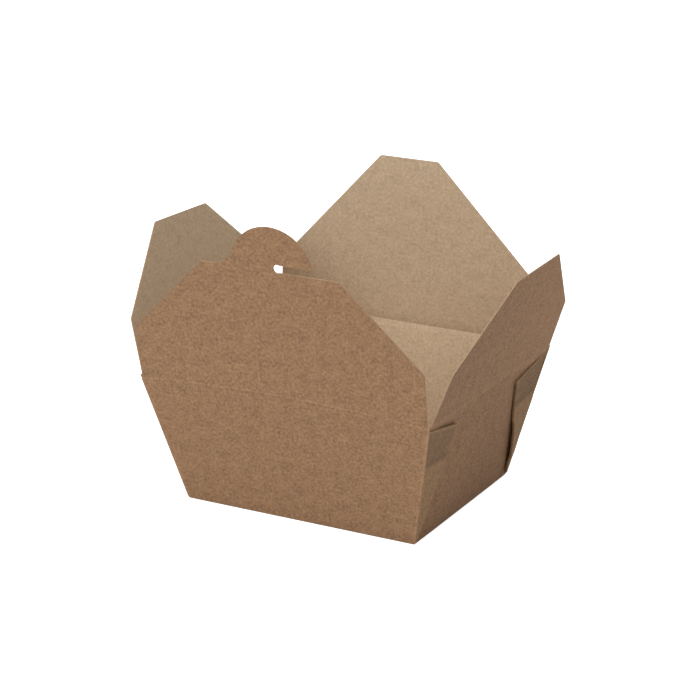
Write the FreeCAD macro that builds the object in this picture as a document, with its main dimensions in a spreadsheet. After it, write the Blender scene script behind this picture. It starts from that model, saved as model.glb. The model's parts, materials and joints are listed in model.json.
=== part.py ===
# Folded kraft takeaway box with webbed corners and four lid flaps, standing open.
# One die-cut sheet of board makes it all. The frame's origin is the middle of the base's
# underside, +X runs along the front wall, the front wall faces -Y and +Z is up. Millimetres.

import FreeCAD, Part
import os
import Sketcher

Vector = FreeCAD.Vector

SIZES = [
    ("board", 0.45, "thickness of the kraft board"),
    ("base_length", 110.0, "base, along the front wall"),
    ("base_width", 90.0, "base, front to back"),
    ("rim_length", 137.1, "outside length at the top of the front wall"),
    ("rim_width", 119.9, "outside width at the top of the front wall"),
    ("wall_height", 59.3, "front wall, straight up from the underside"),
    ("back_drop", 0.8, "how much lower the back wall ends"),
    ("end_drop", 1.9, "how much lower the end walls end, so their flaps tuck in first"),
    ("base_fold", 0.9, "outside radius of the folds round the base"),
    ("crease_gap", 0.4, "bare line between a wall and its flap"),
    ("crease_bevel", 0.16, "crushed edge of a flap beside its crease"),
    ("end_clearance", 0.9, "from a flap's foot to the walls beside it"),
    ("web_fold", 55.5, "length of a corner web's folded edge"),
    ("web_drop", 2.2, "from the end wall's top down to the web, along the corner"),
    ("web_foot", 3.0, "from the base up the end wall to where the webs stand clear"),
    ("web_slack_degrees", 5.0, "how far a web's fold lies short of halfway between its walls"),
    ("web_round", 0.5, "outside radius of a web's two folds"),
    ("corner_round", 1.6, "radius of the flaps' cut corners"),
    ("front_lean_degrees", 8.2, "front flap, lean out from upright"),
    ("front_shoulder", 24.1, "front flap, foot to shoulder"),
    ("front_shoulder_inset", 1.3, "front flap, each side's run in up to the shoulder"),
    ("front_reach", 57.9, "front flap, foot to cut edge"),
    ("front_top", 63.8, "front flap, length of the cut edge"),
    ("hook_radius", 19.1, "rounded head of the hook"),
    ("hook_across", 1.4, "middle of the hook, right of the flap's middle"),
    ("hook_rise", 0.4, "centre of the hook above the flap's cut edge"),
    ("hook_root", 12.6, "hollow curve from the cut edge into the hook"),
    ("hook_tip", 1.1, "radius of the hook's tip"),
    ("slot_width", 3.3, "slot under the hook"),
    ("slot_depth", 16.4, "slot, from the hook's tip in to its round end"),
    ("slot_end", 1.85, "radius of the slot's round end"),
    ("back_lean_degrees", 2.5, "back flap, lean in from upright"),
    ("back_shoulder", 22.5, "back flap, foot to shoulder"),
    ("back_shoulder_inset", 1.4, "back flap, each side's run in up to the shoulder"),
    ("back_reach", 77.3, "back flap, foot to cut edge"),
    ("back_top", 28.3, "back flap, length of the cut edge"),
    ("left_lean_degrees", 16.4, "left flap, lean out from upright"),
    ("right_lean_degrees", 19.9, "right flap, lean out from upright"),
    ("end_shoulder", 25.4, "end flaps, foot to shoulder"),
    ("end_shoulder_inset", 2.7, "end flaps, each side's run in up to the shoulder"),
    ("end_reach", 58.8, "end flaps, foot to the middle of the cut edge"),
    ("end_rake", 1.4, "how much further out an end flap's cut edge is at one end"),
    ("end_top", 41.0, "end flaps, length of the cut edge"),
]

# What follows from the sizes: how far the walls lean, the corner webs' angle in the flat
# sheet, and where the four creases lie.
FOLDS = [
    ("front_run", "(Sizes.rim_width - Sizes.base_width) / 2"),
    ("end_run", "(Sizes.rim_length - Sizes.base_length) / 2"),
    ("front_lean", "atan(front_run / Sizes.wall_height) / 1 deg"),
    ("end_lean", "atan(end_run / Sizes.wall_height) / 1 deg"),
    ("front_slant", "Sizes.wall_height / cos(front_lean)"),
    ("end_slant", "Sizes.wall_height / cos(end_lean)"),
    ("front_skew", "atan(end_run / front_slant) / 1 deg"),
    ("end_skew", "atan(front_run / end_slant) / 1 deg"),
    ("web_angle", "(90 - front_skew - end_skew) / 2"),
    ("web_tilt", "web_angle - end_skew - Sizes.web_slack_degrees"),
    ("front_crease_y", "Sizes.rim_width / 2 - Sizes.board / 2 / cos(front_lean)"
                       " + Sizes.crease_gap / 2 * sin(front_lean)"),
    ("front_crease_z", "Sizes.wall_height + Sizes.crease_gap / 2 * cos(front_lean)"),
    ("back_crease_y", "front_crease_y - Sizes.back_drop * tan(front_lean)"),
    ("back_crease_z", "front_crease_z - Sizes.back_drop"),
    ("end_crease_x", "Sizes.rim_length / 2 - Sizes.board / 2 / cos(end_lean)"
                     " + Sizes.crease_gap / 2 * sin(end_lean)"
                     " - Sizes.end_drop * tan(end_lean)"),
    ("end_crease_z", "Sizes.wall_height + Sizes.crease_gap / 2 * cos(end_lean)"
                     " - Sizes.end_drop"),
]

SAME_PLACE = 0.01    # two points nearer than this are the same point

doc = FreeCAD.newDocument("takeaway_box")

sizes = doc.addObject("Spreadsheet::Sheet", "Sizes")
for row, (alias, value, meaning) in enumerate(SIZES, 1):
    sizes.set(f"A{row}", alias)
    sizes.set(f"B{row}", str(value))
    sizes.set(f"C{row}", meaning)
    sizes.setAlias(f"B{row}", alias)
doc.recompute()

folds = doc.addObject("App::VarSet", "Folds")
for name, formula in FOLDS:
    folds.addProperty("App::PropertyFloat", name, "Folds")
    folds.setExpression(name, formula)
doc.recompute()


def origin_feature(body, role):
    """The body's own origin plane or axis with this role."""
    return next(part for part in body.Origin.OriginFeatures if part.Role == role)


def new_sketch(body, name, plane):
    """An empty sketch on one of the body's origin planes."""
    sketch = body.newObject("Sketcher::SketchObject", name)
    sketch.AttachmentSupport = (origin_feature(body, plane), [""])
    sketch.MapMode = "FlatFace"
    return sketch


def place_point(sketch, geometry, end, name, across, up):
    """Ties one point of a sketch to two expressions, measured from the sketch's origin."""
    for kind, direction, formula in (("DistanceX", "across", across), ("DistanceY", "up", up)):
        index = sketch.addConstraint(Sketcher.Constraint(kind, -1, 1, geometry, end, 1.0))
        sketch.renameConstraint(index, f"{name}_{direction}")
        sketch.setExpression(f"Constraints.{name}_{direction}", formula)


def add_outline(sketch, corners):
    """A closed outline of straight cuts through the corners, each a pair of expressions."""
    count = len(corners)
    for index in range(count):
        start = Vector(index, index * index, 0)
        sketch.addGeometry(Part.LineSegment(start, start + Vector(1, 0.5, 0)))
    for index in range(count):
        sketch.addConstraint(
            Sketcher.Constraint("Coincident", index, 2, (index + 1) % count, 1))
    for index, (across, up) in enumerate(corners):
        place_point(sketch, index, 1, f"corner{index}", across, up)
    doc.recompute()


def add_circle(sketch, name, across, up, radius):
    """A circle with its centre and radius given as expressions."""
    circle = sketch.addGeometry(Part.Circle(Vector(0, 0, 0), Vector(0, 0, 1), 1.0))
    place_point(sketch, circle, 3, name, across, up)
    index = sketch.addConstraint(Sketcher.Constraint("Radius", circle, 1.0))
    sketch.renameConstraint(index, f"{name}_radius")
    sketch.setExpression(f"Constraints.{name}_radius", radius)
    doc.recompute()


def corner_places(sketch, indices):
    """Where the named corners of an outline lie in their body."""
    return [sketch.Placement.multVec(sketch.getPoint(index, 1)) for index in indices]


def edges_at(feature, places):
    """The names of the edges whose middles are at the given places."""
    names = []
    for number, edge in enumerate(feature.Shape.Edges, 1):
        middle = edge.CenterOfMass
        if any(middle.distanceToPoint(place) < SAME_PLACE for place in places):
            names.append(f"Edge{number}")
    return names


def round_edges(body, name, feature, places, radius):
    """Fillets the edges at these places."""
    fillet = body.newObject("PartDesign::Fillet", name)
    fillet.Base = (feature, edges_at(feature, places))
    fillet.setExpression("Radius", radius)
    doc.recompute()
    return fillet


def cut_card(body, name, sketch):
    """A sheet of the board, half its thickness each side of the sketch."""
    pad = body.newObject("PartDesign::Pad", name)
    pad.Profile = sketch
    pad.SideType = "Symmetric"
    pad.setExpression("Length", "Sizes.board")
    doc.recompute()
    return pad


def cut_away(body, name, sketch):
    """A hole through everything, both ways from the sketch."""
    pocket = body.newObject("PartDesign::Pocket", name)
    pocket.Profile = sketch
    pocket.Type = "ThroughAll"
    pocket.SideType = "Symmetric"
    doc.recompute()
    return pocket


def flap_outline(half_foot, inset, shoulder, half_top, reach, rake="0"):
    """A flap's corners: foot, shoulders and the narrower cut edge, left to right and back."""
    half_shoulder = f"({half_foot} - {inset})"
    foot = "Sizes.crease_gap / 2"
    return [(f"-({half_foot})", foot), (half_foot, foot), (half_shoulder, shoulder),
            (half_top, f"{reach} + {rake} / 2"), (f"-({half_top})", f"{reach} - {rake} / 2"),
            (f"-{half_shoulder}", shoulder)]


def bevel_foot(body, feature, sketch):
    """Thins the flap's foot on both faces, as a crushed crease is."""
    left, right = corner_places(sketch, [0, 1])
    across_board = sketch.Placement.Rotation.multVec(Vector(0, 0, sizes.board / 2))
    middle = (left + right) / 2
    chamfer = body.newObject("PartDesign::Chamfer", "crushed_crease")
    chamfer.Base = (feature, edges_at(feature, [middle + across_board, middle - across_board]))
    chamfer.setExpression("Size", "Sizes.crease_bevel")
    doc.recompute()


def plain_flap(name, plane, outline):
    """A flap body cut to the outline, with its corners rounded."""
    body = doc.addObject("PartDesign::Body", name)
    sketch = new_sketch(body, f"{name}_outline", plane)
    add_outline(sketch, outline)
    card = cut_card(body, f"{name}_card", sketch)
    rounded = round_edges(body, f"{name}_corners", card,
                          corner_places(sketch, [2, 3, 4, 5]), "Sizes.corner_round")
    return body, sketch, rounded


def stand_flap(body, axis, lean, across, up):
    """Puts a flap's foot at its crease and leans it."""
    body.Placement = FreeCAD.Placement(Vector(0, 0, 0), FreeCAD.Rotation(axis, 1.0))
    body.setExpression("Placement.Rotation.Angle", f"{lean} * 1 deg")
    sideways, formula = across
    body.setExpression(f"Placement.Base.{sideways}", formula)
    body.setExpression("Placement.Base.z", up)
    doc.recompute()


# Tray: base and four leaning walls.
tray = doc.addObject("PartDesign::Body", "tray")
block = tray.newObject("PartDesign::AdditiveWedge", "flared_block")
block.AttachmentSupport = (origin_feature(tray, "XZ_Plane"), [""])
block.MapMode = "FlatFace"
block.Ymin = 0
block.setExpression("Ymax", "Sizes.wall_height")
for low, high, size in (("Xmin", "Xmax", "Sizes.base_length"), ("Zmin", "Zmax", "Sizes.base_width"),
                        ("X2min", "X2max", "Sizes.rim_length"), ("Z2min", "Z2max", "Sizes.rim_width")):
    block.setExpression(low, f"-{size} / 2")
    block.setExpression(high, f"{size} / 2")
doc.recompute()

top_face = next(number for number, face in enumerate(block.Shape.Faces, 1)
                if face.CenterOfMass.z > sizes.wall_height - SAME_PLACE)
shell = tray.newObject("PartDesign::Thickness", "board_walls")
shell.Base = (block, [f"Face{top_face}"])
shell.setExpression("Value", "Sizes.board")
shell.Reversed = True
shell.Join = "Intersection"
doc.recompute()


def base_edges(feature, height):
    """The names of the four edges round the base at this height."""
    return [f"Edge{number}" for number, edge in enumerate(feature.Shape.Edges, 1)
            if abs(edge.BoundBox.ZMin - height) < SAME_PLACE
            and abs(edge.BoundBox.ZMax - height) < SAME_PLACE]


outer_fold = tray.newObject("PartDesign::Fillet", "outer_base_folds")
outer_fold.Base = (shell, base_edges(shell, 0))
outer_fold.setExpression("Radius", "Sizes.base_fold")
doc.recompute()
inner_fold = tray.newObject("PartDesign::Fillet", "inner_base_folds")
inner_fold.Base = (outer_fold, base_edges(outer_fold, sizes.board))
inner_fold.setExpression("Radius", "Sizes.base_fold - Sizes.board")
doc.recompute()

# The back wall ends a little lower than the front wall, and the end walls lower still.
inside_front = "(Sizes.rim_width / 2 - 3 * Sizes.board)"
above = "(Sizes.wall_height + 1)"
end_wall_top = "(Sizes.wall_height - Sizes.end_drop)"
back_wall_top = "(Sizes.wall_height - Sizes.back_drop)"
rim_steps = new_sketch(tray, "rim_steps", "YZ_Plane")
add_outline(rim_steps, [(f"-{inside_front}", above), (f"-{inside_front}", end_wall_top),
                        (inside_front, end_wall_top), (inside_front, back_wall_top),
                        ("Sizes.rim_width", back_wall_top), ("Sizes.rim_width", above)])
stepped = cut_away(tray, "stepped_rim", rim_steps)

# Corner webs: each is folded double along a slanting line and glued flat on the end wall.
web_outline = new_sketch(tray, "web_outline", "YZ_Plane")
web_outline.AttachmentOffset = FreeCAD.Placement(
    Vector(0, 0, 0), FreeCAD.Rotation(Vector(1, 0, 0), 1.0))
web_outline.setExpression("AttachmentOffset.Base.z", "Sizes.base_length / 2")
web_outline.setExpression("AttachmentOffset.Rotation.Angle", "Folds.end_lean * 1 deg")
web_top = "(Folds.end_slant - Sizes.end_drop / cos(Folds.end_lean) - Sizes.web_drop)"
add_outline(web_outline, [
    ("-Sizes.base_width / 2 - Sizes.web_foot * tan(Folds.end_skew)", "Sizes.web_foot"),
    ("-Sizes.base_width / 2 + Sizes.web_foot * tan(Folds.web_tilt)", "Sizes.web_foot"),
    ("-Sizes.base_width / 2 + Sizes.web_fold * sin(Folds.web_tilt)",
     "Sizes.web_fold * cos(Folds.web_tilt)"),
    (f"-Sizes.base_width / 2 - {web_top} * tan(Folds.end_skew)", web_top),
])
web = tray.newObject("PartDesign::Pad", "folded_web")
web.Profile = web_outline
web.setExpression("Length", "2 * Sizes.board")
doc.recompute()

webs = tray.newObject("PartDesign::MultiTransform", "four_webs")
across_middle = tray.newObject("PartDesign::Mirrored", "other_side")
across_middle.MirrorPlane = (origin_feature(tray, "YZ_Plane"), [""])
front_to_back = tray.newObject("PartDesign::Mirrored", "other_end")
front_to_back.MirrorPlane = (origin_feature(tray, "XZ_Plane"), [""])
webs.Originals = [web]
webs.Transformations = [across_middle, front_to_back]
tray.Tip = webs
doc.recompute()

# The board turns smoothly where it runs from the wall into the web and where the web doubles back.
lower_corner, lower_fold, upper_fold, upper_corner = corner_places(web_outline, range(4))
outward = web_outline.Placement.Rotation.multVec(Vector(0, 0, 2 * sizes.board))
turn_places = []
for turn in ((lower_corner + upper_corner) / 2 + outward, (lower_fold + upper_fold) / 2 + outward):
    turn_places += [Vector(side * turn.x, end * turn.y, turn.z)
                    for side in (1, -1) for end in (1, -1)]
round_edges(tray, "web_turns", webs, turn_places, "Sizes.web_round")

# Front flap: the card, the round hook on its cut edge, and the slot under the hook.
long_foot = "(Sizes.rim_length / 2 - Sizes.end_clearance)"
front_flap, front_cut, front_card = plain_flap("front_flap", "XZ_Plane", flap_outline(
    long_foot, "Sizes.front_shoulder_inset", "Sizes.front_shoulder",
    "Sizes.front_top / 2", "Sizes.front_reach"))
hook_centre = ("Sizes.hook_across", "Sizes.front_reach + Sizes.hook_rise")
hook_outline = new_sketch(front_flap, "hook_outline", "XZ_Plane")
add_circle(hook_outline, "hook", *hook_centre, "Sizes.hook_radius")
hook = cut_card(front_flap, "hook_card", hook_outline)

hook_reach = (sizes.hook_radius ** 2 - sizes.hook_rise ** 2) ** 0.5
hook_root = round_edges(front_flap, "hook_root", hook,
                        [Vector(sizes.hook_across - hook_reach, 0, sizes.front_reach)],
                        "Sizes.hook_root")

slot_inner = "(Sizes.hook_across + Sizes.hook_radius - Sizes.slot_depth)"
slot_outer = "(Sizes.hook_across + Sizes.hook_radius + 1)"
slot_lower = "Sizes.front_reach"
slot_upper = "(Sizes.front_reach + Sizes.slot_width)"
slot_outline = new_sketch(front_flap, "slot_outline", "XZ_Plane")
add_outline(slot_outline, [(slot_inner, slot_lower), (slot_outer, slot_lower),
                           (slot_outer, slot_upper), (slot_inner, slot_upper)])
slot = cut_away(front_flap, "slot", slot_outline)
slot_end_outline = new_sketch(front_flap, "slot_end_outline", "XZ_Plane")
add_circle(slot_end_outline, "slot_end", slot_inner, f"({slot_lower} + {slot_upper}) / 2",
           "Sizes.slot_end")
slot_end = cut_away(front_flap, "slot_end", slot_end_outline)

tip_height = sizes.slot_width - sizes.hook_rise
tip_reach = (sizes.hook_radius ** 2 - tip_height ** 2) ** 0.5
hook_tip = round_edges(front_flap, "hook_tip", slot_end,
                       [Vector(sizes.hook_across + tip_reach, 0,
                               sizes.front_reach + sizes.slot_width)], "Sizes.hook_tip")
bevel_foot(front_flap, hook_tip, front_cut)
stand_flap(front_flap, Vector(1, 0, 0), "Sizes.front_lean_degrees",
           ("y", "-Folds.front_crease_y"), "Folds.front_crease_z")

# Back flap: the long one, cut to a narrow top edge.
back_flap, back_cut, back_card = plain_flap("back_flap", "XZ_Plane", flap_outline(
    long_foot, "Sizes.back_shoulder_inset", "Sizes.back_shoulder",
    "Sizes.back_top / 2", "Sizes.back_reach"))
bevel_foot(back_flap, back_card, back_cut)
stand_flap(back_flap, Vector(1, 0, 0), "Sizes.back_lean_degrees",
           ("y", "Folds.back_crease_y"), "Folds.back_crease_z")

# End flaps: two of one shape, each the other turned half round, with a slightly raked cut edge.
end_foot = "(Sizes.rim_width / 2 - Sizes.end_clearance - Sizes.board)"
end_flap_sides = [
    ("right_flap", Vector(0, 1, 0), "Sizes.right_lean_degrees", "Folds.end_crease_x", "Sizes.end_rake"),
    ("left_flap", Vector(0, -1, 0), "Sizes.left_lean_degrees", "-Folds.end_crease_x", "-Sizes.end_rake")]
end_flaps = []
for flap_name, lean_axis, lean, crease_x, rake in end_flap_sides:
    end_flap, end_cut, end_card = plain_flap(flap_name, "YZ_Plane", flap_outline(
        end_foot, "Sizes.end_shoulder_inset", "Sizes.end_shoulder",
        "Sizes.end_top / 2", "Sizes.end_reach", rake))
    bevel_foot(end_flap, end_card, end_cut)
    stand_flap(end_flap, lean_axis, lean, ("x", crease_x), "Folds.end_crease_z")
    end_flaps.append(end_flap)

# Every feature has to have worked before anything is written.
for item in doc.Objects:
    if "Invalid" in item.State or "Error" in item.State:
        raise RuntimeError(f"{item.Label} failed: {item.State}")

nodes = [tray, front_flap, back_flap] + end_flaps
for node in nodes:
    if node.Shape.isNull() or not node.Shape.isValid():
        raise RuntimeError(f"{node.Label} has no valid shape")
    if len(node.Shape.Solids) != 1:
        raise RuntimeError(f"{node.Label} is not one solid")

os.makedirs("parts", exist_ok=True)
for node in nodes:
    node.Shape.exportStep(f"parts/{node.Label}.step")
    box = node.Shape.BoundBox
    print(node.Label, round(node.Shape.Volume, 1),
          [round(side, 2) for side in (box.XMin, box.XMax, box.YMin, box.YMax, box.ZMin, box.ZMax)])
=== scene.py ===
import collections
import json
import math

import bmesh
import bpy
from mathutils import Euler, Matrix, Vector


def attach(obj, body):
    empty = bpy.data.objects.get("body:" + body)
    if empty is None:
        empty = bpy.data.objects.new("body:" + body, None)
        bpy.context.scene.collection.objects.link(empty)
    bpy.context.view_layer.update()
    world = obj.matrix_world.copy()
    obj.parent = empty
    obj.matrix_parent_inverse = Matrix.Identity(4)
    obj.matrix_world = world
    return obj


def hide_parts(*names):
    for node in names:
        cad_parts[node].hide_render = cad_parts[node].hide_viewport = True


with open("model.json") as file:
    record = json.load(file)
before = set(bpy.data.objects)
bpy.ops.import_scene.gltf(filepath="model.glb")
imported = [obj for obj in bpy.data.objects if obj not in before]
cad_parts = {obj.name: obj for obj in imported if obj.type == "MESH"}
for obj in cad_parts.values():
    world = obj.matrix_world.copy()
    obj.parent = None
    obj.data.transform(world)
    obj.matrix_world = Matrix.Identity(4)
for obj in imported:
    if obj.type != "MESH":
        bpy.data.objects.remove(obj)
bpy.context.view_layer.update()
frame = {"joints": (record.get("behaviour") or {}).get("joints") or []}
mm = 0.001

# The view: a long lens some 1.04 m away and a little above the rim, with the front wall and the
# right end wall turned to the camera, as the photograph was taken.
view_turn, view_height, view_roll = math.radians(28.221), math.radians(18.652), math.radians(0.011)
view_distance = 1044.979 * mm
view_aside, view_up = 0.337 * mm, 22.085 * mm
frame_width, focus = 700, 2401.332
aim = Vector((0, 0, 40 * mm))
facing = (Euler((math.radians(90) - view_height, 0, view_turn)).to_matrix()
          @ Matrix.Rotation(view_roll, 3, "Z"))
stand = aim + facing @ Vector((view_aside, view_up, view_distance))
bpy.ops.object.camera_add(location=stand, rotation=facing.to_euler())
camera = bpy.context.object
camera.name = "photo_view"
camera.data.sensor_width = 36
camera.data.lens = focus / frame_width * camera.data.sensor_width
camera.data.clip_start, camera.data.clip_end = 0.05, 20
bpy.context.scene.camera = camera
bpy.context.scene.view_settings.view_transform = "Standard"

# The studio: a white table with no edge in sight and a white room. Both show pure white to the
# eye and light the box no more than soft studio light does, and the table keeps its shadow.


def linear(code):
    """An sRGB hex colour as the linear colour that a shader wants."""
    parts = [int(code[place:place + 2], 16) / 255 for place in (1, 3, 5)]
    return [part / 12.92 if part <= 0.04045 else ((part + 0.055) / 1.055) ** 2.4
            for part in parts] + [1]


def add_node(tree, kind, links=(), settings=(), values=()):
    """Adds a node to a tree: its settings, the values of its sockets, and what feeds them."""
    node = tree.nodes.new(kind)
    for name, value in dict(settings).items():
        setattr(node, name, value)
    for socket, value in dict(values).items():
        node.inputs[socket].default_value = value
    for socket, source in dict(links).items():
        tree.links.new(source, node.inputs[socket])
    return node


def seen_directly(tree):
    """1 for rays that show the background itself: the eye's, mirrored and passed ones."""
    path = add_node(tree, "ShaderNodeLightPath")
    mirrored = add_node(tree, "ShaderNodeMath", settings={"operation": "MAXIMUM"},
                        links={0: path.outputs["Is Camera Ray"], 1: path.outputs["Is Glossy Ray"]})
    passed = add_node(tree, "ShaderNodeMath", settings={"operation": "MAXIMUM"},
                      links={0: mirrored.outputs[0], 1: path.outputs["Is Transmission Ray"]})
    return passed.outputs[0]


room_light = 0.44
room = bpy.data.worlds.new("white_room")
bpy.context.scene.world = room
room.use_nodes = True
room.node_tree.nodes.clear()
white = add_node(room.node_tree, "ShaderNodeBackground", values={"Color": linear("#ffffff")})
soft = add_node(room.node_tree, "ShaderNodeBackground",
                values={"Color": linear("#ffffff"), "Strength": room_light})
choose = add_node(room.node_tree, "ShaderNodeMixShader",
                  links={0: seen_directly(room.node_tree), 1: soft.outputs[0], 2: white.outputs[0]})
add_node(room.node_tree, "ShaderNodeOutputWorld", links={0: choose.outputs[0]})

floor_glow, table_width = 0.86, 6
bpy.ops.mesh.primitive_plane_add(size=table_width)
table = bpy.context.object
table.name = "white_table"
table_paint = bpy.data.materials.new("matt_white_laminate")
table_paint.use_nodes = True
tree = table_paint.node_tree
tree.nodes.clear()
matt = add_node(tree, "ShaderNodeBsdfDiffuse", values={"Color": linear("#e8e8e8")})
glow = add_node(tree, "ShaderNodeEmission",
                values={"Color": linear("#ffffff"), "Strength": floor_glow})
lit = add_node(tree, "ShaderNodeAddShader", links={0: matt.outputs[0], 1: glow.outputs[0]})
choose = add_node(tree, "ShaderNodeMixShader",
                  links={0: seen_directly(tree), 1: matt.outputs[0], 2: lit.outputs[0]})
add_node(tree, "ShaderNodeOutputMaterial", links={0: choose.outputs[0]})
table.data.materials.append(table_paint)


def add_lamp(name, place, size, power):
    """A square soft box at a place, turned to the box."""
    turn = (aim - Vector(place)).to_track_quat("-Z", "Y").to_euler()
    bpy.ops.object.light_add(type="AREA", location=place, rotation=turn)
    lamp = bpy.context.object
    lamp.name = name
    lamp.data.size = size
    lamp.data.energy = power


add_lamp("key_soft_box", (-0.95, -1.55, 0.95), 0.9, 21)
add_lamp("top_soft_box", (0.1, -0.3, 1.9), 1.0, 19)

# The board: unbleached kraft, 0.45 mm, its outside a warm brown and its inside greyer and
# paler. It is matt, with short fibres pressed flat in the mill and soft clouds of darker pulp.
board = 0.45 * mm
fibre_size, cloud_size, cloud_share = 1.25 * mm, 5 * mm, 0.35
tooth_depth = 0.02 * mm


def kraft(name, dark, light, seed, find_painted_light=None):
    """Kraft board: short fibres, clouds, a fine tooth, and any painted light and shade marks given.
    """
    paper = bpy.data.materials.new(name)
    paper.use_nodes = True
    tree = paper.node_tree
    tree.nodes.clear()
    place = add_node(tree, "ShaderNodeTexCoord").outputs["UV"]
    moved = add_node(tree, "ShaderNodeMapping", links={"Vector": place},
                     values={"Location": (seed, seed, 0)}).outputs[0]
    fibres = add_node(tree, "ShaderNodeTexNoise", links={"Vector": moved},
                      values={"Scale": 1 / fibre_size, "Detail": 2.0, "Roughness": 0.6})
    clouds = add_node(tree, "ShaderNodeTexNoise", links={"Vector": moved},
                      values={"Scale": 1 / cloud_size, "Detail": 3.0, "Roughness": 0.6})
    pulp = add_node(tree, "ShaderNodeMix", settings={"data_type": "FLOAT"},
                    links={2: fibres.outputs[0], 3: clouds.outputs[0]}, values={0: cloud_share})
    tint = add_node(tree, "ShaderNodeValToRGB", links={0: pulp.outputs[0]})
    tint.color_ramp.elements[0].position = 0.28
    tint.color_ramp.elements[0].color = linear(dark)
    tint.color_ramp.elements[1].position = 0.72
    tint.color_ramp.elements[1].color = linear(light)
    colour = tint.outputs[0]
    # Each mark scales the colour: above 1 is painted light, below 1 is painted shade.
    for mark, strength in find_painted_light(tree, place) if find_painted_light else ():
        share = add_node(tree, "ShaderNodeMath", settings={"operation": "MULTIPLY_ADD"},
                         links={0: mark}, values={1: strength, 2: 1.0})
        colour = add_node(tree, "ShaderNodeVectorMath", settings={"operation": "SCALE"},
                          links={0: colour, "Scale": share.outputs[0]}).outputs[0]
    tooth = add_node(tree, "ShaderNodeBump", links={"Height": fibres.outputs[0]},
                     values={"Strength": 0.15, "Distance": tooth_depth})
    shader = add_node(tree, "ShaderNodeBsdfPrincipled",
                      links={"Base Color": colour, "Normal": tooth.outputs[0]},
                      values={"Roughness": 0.82, "IOR": 1.5, "Specular IOR Level": 0.3})
    add_node(tree, "ShaderNodeOutputMaterial", links={0: shader.outputs[0]})
    return paper


def on_line(tree, distance, half_width):
    """1 on a line and 0 from half its width away, given the distance to the line."""
    away = add_node(tree, "ShaderNodeMath", settings={"operation": "ABSOLUTE"},
                    links={0: distance})
    return add_node(tree, "ShaderNodeMapRange", settings={"interpolation_type": "SMOOTHSTEP"},
                    links={"Value": away.outputs[0]},
                    values={"From Max": half_width, "To Min": 1, "To Max": 0}).outputs[0]


def off_line(tree, place, across, up, start):
    """The distance of a place from a straight line, by the line's normal and its offset."""
    dot = add_node(tree, "ShaderNodeVectorMath", settings={"operation": "DOT_PRODUCT"},
                   links={0: place}, values={1: (across, up, 0)})
    return add_node(tree, "ShaderNodeMath", settings={"operation": "SUBTRACT"},
                    links={0: dot.outputs["Value"]}, values={1: start}).outputs[0]


# Places on the flat blank, from its middle: the creases of the long walls arch a little, and
# the fold at each corner starts at the base and slants out to the rim.
long_crease, long_arch, arch_half = 108.1 * mm, 3.1 * mm, 66 * mm
long_shade, end_crease = 107.3 * mm, 114.4 * mm
corner_x, corner_y, corner_slant = 55 * mm, 45 * mm, math.atan(13.55 / 61.3)
# The end flaps' painted light gradient: where it starts and is full, and the line where it turns
# from lighter to darker.
flap_near, flap_far, flap_dark_side = 100 * mm, 125 * mm, 12 * mm


def sheet_painted_light(tree, place):
    """Painted highlights on the folds and end creases, painted shade under the long creases, and a
    painted light gradient on the end flaps.
    """
    folded = add_node(tree, "ShaderNodeVectorMath", settings={"operation": "ABSOLUTE"},
                      links={0: place}).outputs[0]
    parts = add_node(tree, "ShaderNodeSeparateXYZ", links={0: folded})
    squared = add_node(tree, "ShaderNodeMath", settings={"operation": "MULTIPLY"},
                       links={0: parts.outputs[0], 1: parts.outputs[0]})
    arched = add_node(tree, "ShaderNodeMath", settings={"operation": "MULTIPLY_ADD"},
                      links={0: squared.outputs[0], 2: parts.outputs[1]},
                      values={1: long_arch / arch_half ** 2}).outputs[0]
    # Painted highlight along the arched crease at the top of each long wall.
    yield on_line(tree, off_line(tree, arched, 1, 0, long_crease), 0.5 * mm), 0.22
    # Painted shade just under that crease, on the wall.
    yield on_line(tree, off_line(tree, arched, 1, 0, long_shade), 0.6 * mm), -0.06
    # A soft painted highlight band along each end wall's crease, where the board bends.
    yield on_line(tree, off_line(tree, folded, 1, 0, end_crease), 3.0 * mm), 0.05
    # A painted light gradient on the end flaps and the tops of the end walls: lighter towards the
    # back, darker towards the front, growing up the flap.
    end_flap = add_node(tree, "ShaderNodeMapRange", links={"Value": parts.outputs[0]},
                        values={"From Min": flap_near, "From Max": flap_far})
    painted_light_gradient = add_node(tree, "ShaderNodeMath", settings={"operation": "MULTIPLY"},
                     links={0: end_flap.outputs[0],
                            1: off_line(tree, place, 0, 1, -flap_dark_side)})
    yield painted_light_gradient.outputs[0], 2.6
    # Painted highlight along the slanting fold at each corner.
    across, up = math.cos(corner_slant), -math.sin(corner_slant)
    yield on_line(tree, off_line(tree, folded, across, up,
                                 corner_x * across + corner_y * up - 0.3 * mm), 1.1 * mm), 0.2


def web_painted_light(tree, place):
    """Painted light on a web: painted shade on its upper part and a darker band under it, painted
    highlights on its fold and top edge.
    """
    # Painted shade over the web's upper part.
    painted_shade_upper = add_node(tree, "ShaderNodeMapRange", settings={"interpolation_type": "SMOOTHSTEP"},
                     links={"Value": off_line(tree, place, 0.08, 1, 39.5 * mm)},
                     values={"From Min": -1.5 * mm, "From Max": 1.5 * mm})
    yield painted_shade_upper.outputs[0], -0.27
    # A darker painted shade band along the foot of that part.
    yield on_line(tree, off_line(tree, place, 0.08, 1, 40.5 * mm), 3.0 * mm), -0.16
    # Painted highlight along the web's fold.
    yield on_line(tree, off_line(tree, place, -0.964, 0.267, 0.7 * mm), 1.2 * mm), 0.12
    # Painted highlight along the web's top cut edge.
    yield on_line(tree, off_line(tree, place, 0.209, 0.978, 54.0 * mm), 1.1 * mm), 0.5


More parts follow.
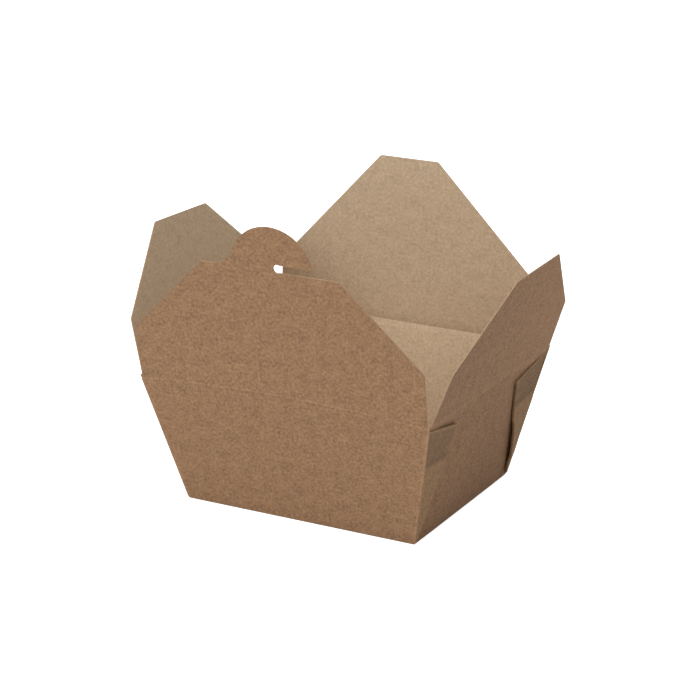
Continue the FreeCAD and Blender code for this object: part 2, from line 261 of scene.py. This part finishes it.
# The outside and the webs carry the painted light and shade marks above; the inside and the cut
# edges carry none.
outside_kraft = kraft("kraft_board_outside", "#6f523b", "#a5805e", 3.1, sheet_painted_light)
web_kraft_painted_light = kraft("kraft_board_outside_glued_web", "#6f5339", "#a5815b", 3.1, web_painted_light)
inside_kraft = kraft("kraft_board_inside", "#ab957a", "#cfb79a", 7.7)
cut_kraft = kraft("kraft_board_cut_edge", "#977b5f", "#b39575", 5.3)

# The tray: the base and four walls of one die-cut sheet, cut flat and folded up along the base's
# scored lines. The end walls are pressed in a little where a web's two layers lie on them.
creases = {joint["name"]: Vector(joint["pos_m"]) for joint in frame["joints"]}
base_length, base_width = 110.0 * mm, 90.0 * mm
rim_half_length, rim_half_width = 68.55 * mm, 59.95 * mm
base_fold = 0.72 * mm
web_layers = 1.0 * mm
under_web, under_web_slope, press_spread = 2 * mm, 0.34, 14 * mm
crease_near, crease_far, crease_bead = 0.2 * mm, 0.4 * mm, 0.2 * mm
lap = 0.03 * mm
grid = 4.0 * mm
near = 0.001 * mm


def use_only(piece):
    """Makes this the one selected and active piece."""
    bpy.ops.object.select_all(action="DESELECT")
    piece.select_set(True)
    bpy.context.view_layer.objects.active = piece


def pick(kind, test):
    """In edit mode, selects just the vertices, edges or faces that pass the test."""
    bpy.ops.mesh.select_mode(type={"verts": "VERT", "edges": "EDGE", "faces": "FACE"}[kind])
    bpy.ops.mesh.select_all(action="DESELECT")
    mesh = bmesh.from_edit_mesh(bpy.context.object.data)
    for part in getattr(mesh, kind):
        if test(part):
            part.select_set(True)
    mesh.select_flush_mode()
    bmesh.update_edit_mesh(bpy.context.object.data)


def middle(part):
    """The middle of an edge or face."""
    return sum((vert.co for vert in part.verts), Vector()) / len(part.verts)


def new_sheet(name, low, high):
    """A flat rectangle between two corners, open in edit mode."""
    bpy.ops.object.select_all(action="DESELECT")
    bpy.ops.mesh.primitive_plane_add(
        size=1, calc_uvs=False, location=((low[0] + high[0]) / 2, (low[1] + high[1]) / 2, 0))
    sheet = bpy.context.object
    sheet.name = sheet.data.name = name
    sheet.scale = (high[0] - low[0], high[1] - low[1], 1)
    bpy.ops.object.transform_apply(location=True, rotation=True, scale=True)
    bpy.ops.object.mode_set(mode="EDIT")
    return sheet


def score_grid(low, high):
    """Divides the whole sheet into a grid, so that it can bend."""
    for axis in (0, 1):
        count = round((high[axis] - low[axis]) / grid)
        for number in range(1, count):
            place, normal = [0, 0, 0], [0, 0, 0]
            place[axis] = low[axis] + (high[axis] - low[axis]) * number / count
            normal[axis] = 1
            bpy.ops.mesh.select_all(action="SELECT")
            bpy.ops.mesh.bisect(plane_co=place, plane_no=normal)


def turn_picked(angle, axis, centre):
    """Turns what is picked about an axis through a centre, anticlockwise seen from its tip."""
    bpy.ops.transform.rotate(value=-angle, orient_axis=axis, center_override=centre)


def lay_uv(sheet, on_blank):
    """UV map in metres, by a vertex's place on the flat blank, seen from inside the box."""
    while sheet.data.uv_layers:
        sheet.data.uv_layers.remove(sheet.data.uv_layers[0])
    layer = sheet.data.uv_layers.new(name="blank")
    for loop in sheet.data.loops:
        layer.data[loop.index].uv = on_blank(sheet.data.vertices[loop.vertex_index].co)


def give_thickness(sheet, offset, outside=outside_kraft):
    """The board's thickness, with the inside's and the cut edge's own finish."""
    for finish in (outside, inside_kraft, cut_kraft):
        sheet.data.materials.append(finish)
    solid = sheet.modifiers.new("board", "SOLIDIFY")
    solid.thickness = board
    solid.offset = offset
    solid.use_even_offset = True
    solid.material_offset = 1
    solid.material_offset_rim = 2
    use_only(sheet)
    bpy.ops.object.modifier_apply(modifier=solid.name)


def wall_fold(crease, half_base):
    """How far a wall leans out, and its length up to its crease."""
    out = math.hypot(crease.x, crease.y) - half_base
    reach = math.hypot(out, crease.z)
    lean = math.atan2(out, crease.z) + math.asin(board / 2 / reach)
    return lean, math.sqrt(reach ** 2 - (board / 2) ** 2)


Wall = collections.namedtuple("Wall", "turn half_base half_side half_rim lean slant")
half_x, half_y = base_length / 2, base_width / 2
walls = {}
for side, turn, half_base, half_side, half_rim in (
        ("front", 0, half_y, half_x, rim_half_length),
        ("right", 90, half_x, half_y, rim_half_width - board),
        ("back", 180, half_y, half_x, rim_half_length),
        ("left", 270, half_x, half_y, rim_half_width - board)):
    lean, slant = wall_fold(creases[side + "_crease"], half_base)
    walls[side] = Wall(math.radians(turn), half_base, half_side, half_rim, lean, slant)

tray = new_sheet("tray_sheet", (-half_x, -half_y), (half_x, half_y))
for wall in walls.values():
    out = Matrix.Rotation(wall.turn, 3, "Z") @ Vector((0, -1, 0))
    pick("edges", lambda edge: abs(middle(edge).dot(out) - wall.half_base) < near)
    bpy.ops.mesh.extrude_region_move(TRANSFORM_OT_translate={"value": out * (wall.slant + lap)})
    wider = wall.half_rim / wall.half_side
    bpy.ops.transform.resize(value=(1, wider, 1) if abs(out.x) > 0.5 else (wider, 1, 1),
                             center_override=out * wall.half_base)

blank_x, blank_y = half_x + walls["right"].slant, half_y + walls["front"].slant
score_grid((-blank_x, -blank_y), (blank_x, blank_y))
bpy.ops.mesh.select_all(action="SELECT")
bpy.ops.mesh.flip_normals()
bpy.ops.object.mode_set(mode="OBJECT")
lay_uv(tray, lambda place: place.xy)
bpy.ops.object.mode_set(mode="EDIT")
for name in ("front", "back", "right", "left"):
    wall = walls[name]
    out = Matrix.Rotation(wall.turn, 3, "Z") @ Vector((0, -1, 0))
    along = Vector((abs(out.y), abs(out.x), 0))
    if abs(out.x) > 0.5:
        pick("verts", lambda vert: abs(vert.co.z) < near
             and 1 * mm < vert.co.dot(out) - wall.half_base < wall.slant - 1 * mm)
        bpy.ops.mesh.hide(unselected=True)
        pick("verts", lambda vert: half_y - abs(vert.co.y)
             < under_web + under_web_slope * (vert.co.dot(out) - wall.half_base))
        bpy.ops.transform.translate(
            value=(0, 0, web_layers), use_proportional_edit=True,
            proportional_edit_falloff="SMOOTH", proportional_size=press_spread)
        bpy.ops.mesh.reveal(select=False)
    pick("verts", lambda vert: abs(vert.co.z) < 2 * mm
         and vert.co.dot(out) > wall.half_base + near
         and vert.co.dot(out) - wall.half_base > abs(vert.co.dot(along)) - wall.half_side)
    axis = Vector((0, 0, 1)).cross(out)
    upward = (math.radians(90) - wall.lean) * -(axis.x + axis.y)
    turn_picked(upward, "Y" if abs(out.x) > 0.5 else "X", out * wall.half_base)
pick("edges", lambda edge: all(abs(vert.co.z) < near for vert in edge.verts)
     and (all(abs(abs(vert.co.x) - half_x) < near for vert in edge.verts)
          or all(abs(abs(vert.co.y) - half_y) < near for vert in edge.verts)))
bpy.ops.mesh.bevel(offset=base_fold, segments=3, affect="EDGES")
bpy.ops.object.mode_set(mode="OBJECT")
give_thickness(tray, -1)
bpy.ops.object.mode_set(mode="EDIT")
for name, crease in creases.items():
    along = Vector((abs(crease.y) > abs(crease.x), abs(crease.x) > abs(crease.y), 0))
    across = Vector((along.y, along.x, 1))
    pick("edges", lambda edge: all(
        crease_near < ((vert.co - crease) * across).length < crease_far for vert in edge.verts)
        and abs((edge.verts[0].co - edge.verts[1].co).normalized().dot(along)) > 0.99)
    bpy.ops.mesh.bevel(offset=crease_bead, segments=3, affect="EDGES")
bpy.ops.object.mode_set(mode="OBJECT")
bpy.ops.object.shade_smooth_by_angle(angle=math.radians(30))
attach(tray, "tray")
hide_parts("tray")

# The four corner webs: the sheet between a long wall and an end wall, folded double along a
# slanting line and glued on the end wall. The fold of the back right one has sprung open low
# down, by the millimetres given, and its top lies pressed flat.
corner_skew = math.atan((rim_half_length - half_x) / walls["front"].slant)
end_skew = math.atan((rim_half_width - half_y) / walls["right"].slant)
web_tilt = (math.radians(90) - corner_skew - end_skew) / 2 - end_skew
web_top, web_tip, fold_length = 58.7 * mm, 1.5 * mm, 54.5 * mm
half_blank, blank_top, inner_width = 20 * mm, 60 * mm, 40 * mm
proud, web_spring = 0.35 * mm, math.radians(0.6)
glued_from, glued_depth, glued_spread = 40 * mm, 0.45 * mm, 8 * mm
open_from, open_to, open_edge, open_spread = 13 * mm, 27 * mm, 2 * mm, 8.5 * mm
corner_out = Vector((-math.cos(end_skew), -math.sin(end_skew), 0))
for name, hand, side, slack, opening, fold_round in (
        ("front_right_web", 1, -1, 2.5, 0, 0.45), ("front_left_web", -1, -1, 2.5, 0, 0.45),
        ("back_right_web", 1, 1, 0, 1.2, 0.12), ("back_left_web", -1, 1, 0, 0, 0.12)):
    tilt = web_tilt - math.radians(slack)
    fold_out = Vector((math.cos(tilt), -math.sin(tilt), 0))
    fold_end = Vector((math.sin(tilt), math.cos(tilt), 0)) * fold_length
    top_out = Vector((web_top - fold_end.y, fold_end.x + web_top * math.tan(end_skew), 0))
    top_out.normalize()
    web = new_sheet(name, (-half_blank, web_tip), (half_blank, blank_top))
    for place, out in ((-corner_out * board, corner_out), (Vector(), fold_out),
                       (fold_end, top_out)):
        bpy.ops.mesh.select_all(action="SELECT")
        bpy.ops.mesh.bisect(plane_co=place, plane_no=out, clear_outer=True)
    pick("edges", lambda edge: all(abs(vert.co.dot(fold_out)) < near for vert in edge.verts))
    bpy.ops.mesh.extrude_region_move(TRANSFORM_OT_translate={"value": (0, 0, -web_layers)})
    bpy.ops.mesh.extrude_region_move(
        TRANSFORM_OT_translate={"value": -fold_out * inner_width})
    for place, out in ((-corner_out * board, corner_out), (fold_end, top_out)):
        pick("faces", lambda face: middle(face).z < near - web_layers)
        bpy.ops.mesh.bisect(plane_co=place, plane_no=out, clear_outer=True)
    pick("edges", lambda edge: all(abs(vert.co.dot(fold_out)) < near for vert in edge.verts)
         and abs(edge.verts[0].co.z - edge.verts[1].co.z) < near)
    bpy.ops.mesh.bevel(offset=fold_round * mm, segments=3, affect="EDGES")
    score_grid((-half_blank, 0), (half_blank, blank_top))
    bpy.ops.object.mode_set(mode="OBJECT")
    lay_uv(web, lambda place: place.xy)
    if opening:
        bpy.ops.object.mode_set(mode="EDIT")
        pick("verts", lambda vert: vert.co.y > glued_from)
        bpy.ops.transform.translate(
            value=(0, 0, -glued_depth), use_proportional_edit=True,
            proportional_edit_falloff="SMOOTH", proportional_size=glued_spread)
        pick("verts", lambda vert: open_from < vert.co.y < open_to
             and vert.co.dot(fold_out) > -open_edge)
        bpy.ops.transform.translate(
            value=(0, 0, opening * mm), use_proportional_edit=True,
            proportional_edit_falloff="SMOOTH", proportional_size=open_spread)
        bpy.ops.object.mode_set(mode="OBJECT")
    give_thickness(web, -1, web_kraft_painted_light)
    bpy.ops.object.shade_smooth_by_angle(angle=math.radians(30))
    web.matrix_world = (
        Matrix.Translation((hand * half_x, side * half_y, 0))
        @ Matrix.Scale(hand, 4, (1, 0, 0)) @ Matrix.Scale(-side, 4, (0, 1, 0))
        @ Matrix.Rotation(walls["right"].lean, 4, "Y") @ Matrix.Rotation(math.radians(90), 4, "Z")
        @ Matrix.Rotation(math.radians(90), 4, "X")
        @ Matrix.Translation((0, 0, proud)) @ Matrix.Rotation(-web_spring, 4, "Y"))
    bpy.ops.object.transform_apply(location=True, rotation=True, scale=True)
    if hand * side > 0:
        bpy.ops.object.mode_set(mode="EDIT")
        bpy.ops.mesh.select_all(action="SELECT")
        bpy.ops.mesh.flip_normals()
        bpy.ops.object.mode_set(mode="OBJECT")
    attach(web, "tray")

# The two end flaps and the long back flap: plain cards with sloping shoulders and a cut top
# edge, corners rounded by the die. Each hangs on its wall by a crushed crease.
corner_round = 1.6 * mm


def cut_slopes(half_foot, half_shoulder, shoulder, half_top, reach, rake=0):
    """Cuts a sheet's sides, foot to shoulder to top corner, and its raked top edge."""
    for hand in (1, -1):
        for start, end in (((half_foot, -lap), (half_shoulder, shoulder)),
                           ((half_shoulder, shoulder), (half_top, reach + hand * rake))):
            bpy.ops.mesh.select_all(action="SELECT")
            bpy.ops.mesh.bisect(
                plane_co=(hand * start[0], start[1], 0),
                plane_no=(hand * (end[1] - start[1]), start[0] - end[0], 0), clear_outer=True)
    bpy.ops.mesh.select_all(action="SELECT")
    bpy.ops.mesh.bisect(plane_co=(0, reach, 0), plane_no=Vector((-rake, half_top, 0)).normalized(),
                        clear_outer=True)


def round_corners(places, radius):
    """Rounds the sheet's corners at these places."""
    for place in places:
        pick("verts", lambda vert: (vert.co.xy - Vector(place)).length < 0.1 * mm)
        corner = next(vert for vert in bmesh.from_edit_mesh(bpy.context.object.data).verts
                      if vert.select)
        arms = [(edge.other_vert(corner).co - corner.co).normalized()
                for edge in corner.link_edges]
        half_turn = (math.pi - arms[0].angle(arms[1])) / 2
        bpy.ops.mesh.bevel(offset=radius * math.tan(half_turn), segments=5, affect="VERTICES")


def stand_flap(flap, side, lean):
    """Stands a flat flap on its wall's crease, leaning out, and fixes it there."""
    wall = walls[side]
    lay_uv(flap, lambda place: Matrix.Rotation(wall.turn, 2)
           @ Vector((place.x, -place.y - (wall.half_base + wall.slant))))
    give_thickness(flap, 0)
    bpy.ops.object.mode_set(mode="EDIT")
    pick("edges", lambda edge: all(abs(vert.co.y + lap) < near for vert in edge.verts)
         and abs(edge.verts[0].co.z - edge.verts[1].co.z) < near)
    bpy.ops.mesh.bevel(offset=crease_bead, segments=3, affect="EDGES")
    bpy.ops.object.mode_set(mode="OBJECT")
    bpy.ops.object.shade_smooth_by_angle(angle=math.radians(30))
    crease = creases[side + "_crease"]
    out = math.hypot(crease.x, crease.y)
    flap.matrix_world = (
        Matrix.Rotation(wall.turn, 4, "Z") @ Matrix.Translation((0, -out, crease.z))
        @ Matrix.Rotation(math.radians(90 + lean), 4, "X"))
    bpy.ops.object.transform_apply(location=True, rotation=True, scale=True)
    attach(flap, side + "_flap")
    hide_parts(side + "_flap")


end_card = (58.6, 2.7, 25.4, 20.5, 58.8, 0.7)
for side, lean, *sizes in (("back", -2.5, 67.65, 1.4, 22.5, 14.15, 77.3, 0),
                           ("right", 19.9, *end_card), ("left", 16.4, *end_card)):
    half_foot, inset, shoulder, half_top, reach, rake = (size * mm for size in sizes)
    half_shoulder = half_foot - inset
    flap = new_sheet(side + "_flap_card", (-half_foot, -lap), (half_foot, reach + rake))
    cut_slopes(half_foot, half_shoulder, shoulder, half_top, reach, rake)
    for hand in (1, -1):
        round_corners([(hand * half_shoulder, shoulder),
                       (hand * half_top, reach + hand * rake)], corner_round)
    score_grid((-half_foot, 0), (half_foot, reach))
    bpy.ops.object.mode_set(mode="OBJECT")
    stand_flap(flap, side, lean)

# The front flap: the same card with the round locking hook on its cut edge. A slot under the
# hook, with a round end, lets it catch behind the back flap's edge.
front_foot, front_shoulder_inset, front_shoulder = 67.65 * mm, 1.3 * mm, 24.1 * mm
front_half_top, front_reach, front_lean = 31.9 * mm, 57.9 * mm, 8.2
hook_across, hook_rise, hook_radius = 1.4 * mm, 0.4 * mm, 19.1 * mm
root_radius = 12.6 * mm
slot_width, slot_depth, slot_end = 3.3 * mm, 16.4 * mm, 1.85 * mm
slab = 2 * mm


def add_block(name, low, high):
    """A block between two corners of the flat blank, as thick as the slab."""
    bpy.ops.object.select_all(action="DESELECT")
    bpy.ops.mesh.primitive_cube_add(
        size=1, location=((low[0] + high[0]) / 2, (low[1] + high[1]) / 2, 0))
    block = bpy.context.object
    block.name = name
    block.scale = (high[0] - low[0], high[1] - low[1], slab)
    bpy.ops.object.transform_apply(location=True, rotation=True, scale=True)
    return block


def add_disc(name, across, up, radius, height):
    """A round of the flat blank."""
    bpy.ops.object.select_all(action="DESELECT")
    bpy.ops.mesh.primitive_cylinder_add(
        vertices=128, radius=radius, depth=height, location=(across, up, 0))
    disc = bpy.context.object
    disc.name = name
    bpy.ops.object.transform_apply(location=True, rotation=True, scale=True)
    return disc


def join_or_cut(piece, tool, operation):
    """Joins the tool to the piece or cuts it away."""
    change = piece.modifiers.new(operation.lower(), "BOOLEAN")
    change.operation = operation
    change.object = tool
    change.solver = "EXACT"
    use_only(piece)
    bpy.ops.object.modifier_apply(modifier=change.name)
    bpy.data.objects.remove(tool)


flap = new_sheet("front_flap_card", (-front_foot, -lap), (front_foot, front_reach))
cut_slopes(front_foot, front_foot - front_shoulder_inset, front_shoulder, front_half_top,
           front_reach)
bpy.ops.mesh.select_all(action="SELECT")
bpy.ops.transform.translate(value=(0, 0, -slab / 2))
bpy.ops.mesh.extrude_region_move(TRANSFORM_OT_translate={"value": (0, 0, slab)})
bpy.ops.mesh.select_all(action="SELECT")
bpy.ops.mesh.normals_make_consistent(inside=False)
bpy.ops.object.mode_set(mode="OBJECT")
hook_up = front_reach + hook_rise
join_or_cut(flap, add_disc("hook", hook_across, hook_up, hook_radius, slab), "UNION")
root_up = front_reach + root_radius
root_across = hook_across - math.sqrt((hook_radius + root_radius) ** 2 - (root_up - hook_up) ** 2)
touch = Vector((root_across, root_up)).lerp(
    Vector((hook_across, hook_up)), root_radius / (hook_radius + root_radius))
join_or_cut(flap, add_block("hook_root", (root_across, front_reach - slab), (hook_across, touch.y)),
            "UNION")
join_or_cut(flap, add_disc("root_curve", root_across, root_up, root_radius, 2 * slab), "DIFFERENCE")
slot_inner = hook_across + hook_radius - slot_depth
slot_cut = add_block("slot", (slot_inner, front_reach),
                     (hook_across + hook_radius + slab, front_reach + slot_width))
slot_cut.scale.z = 2
bpy.ops.object.transform_apply(location=True, rotation=True, scale=True)
join_or_cut(flap, slot_cut, "DIFFERENCE")
join_or_cut(flap, add_disc("slot_end", slot_inner, front_reach + slot_width / 2, slot_end,
                           2 * slab), "DIFFERENCE")
bpy.ops.object.mode_set(mode="EDIT")
pick("faces", lambda face: face.normal.z < 0.5)
bpy.ops.mesh.delete(type="FACE")
bpy.ops.mesh.select_all(action="SELECT")
bpy.ops.transform.translate(value=(0, 0, -slab / 2))
bpy.ops.mesh.dissolve_limited(angle_limit=math.radians(1))
score_grid((-front_foot, 0), (front_foot, front_reach + hook_radius))
bpy.ops.object.mode_set(mode="OBJECT")
stand_flap(flap, "front", front_lean)
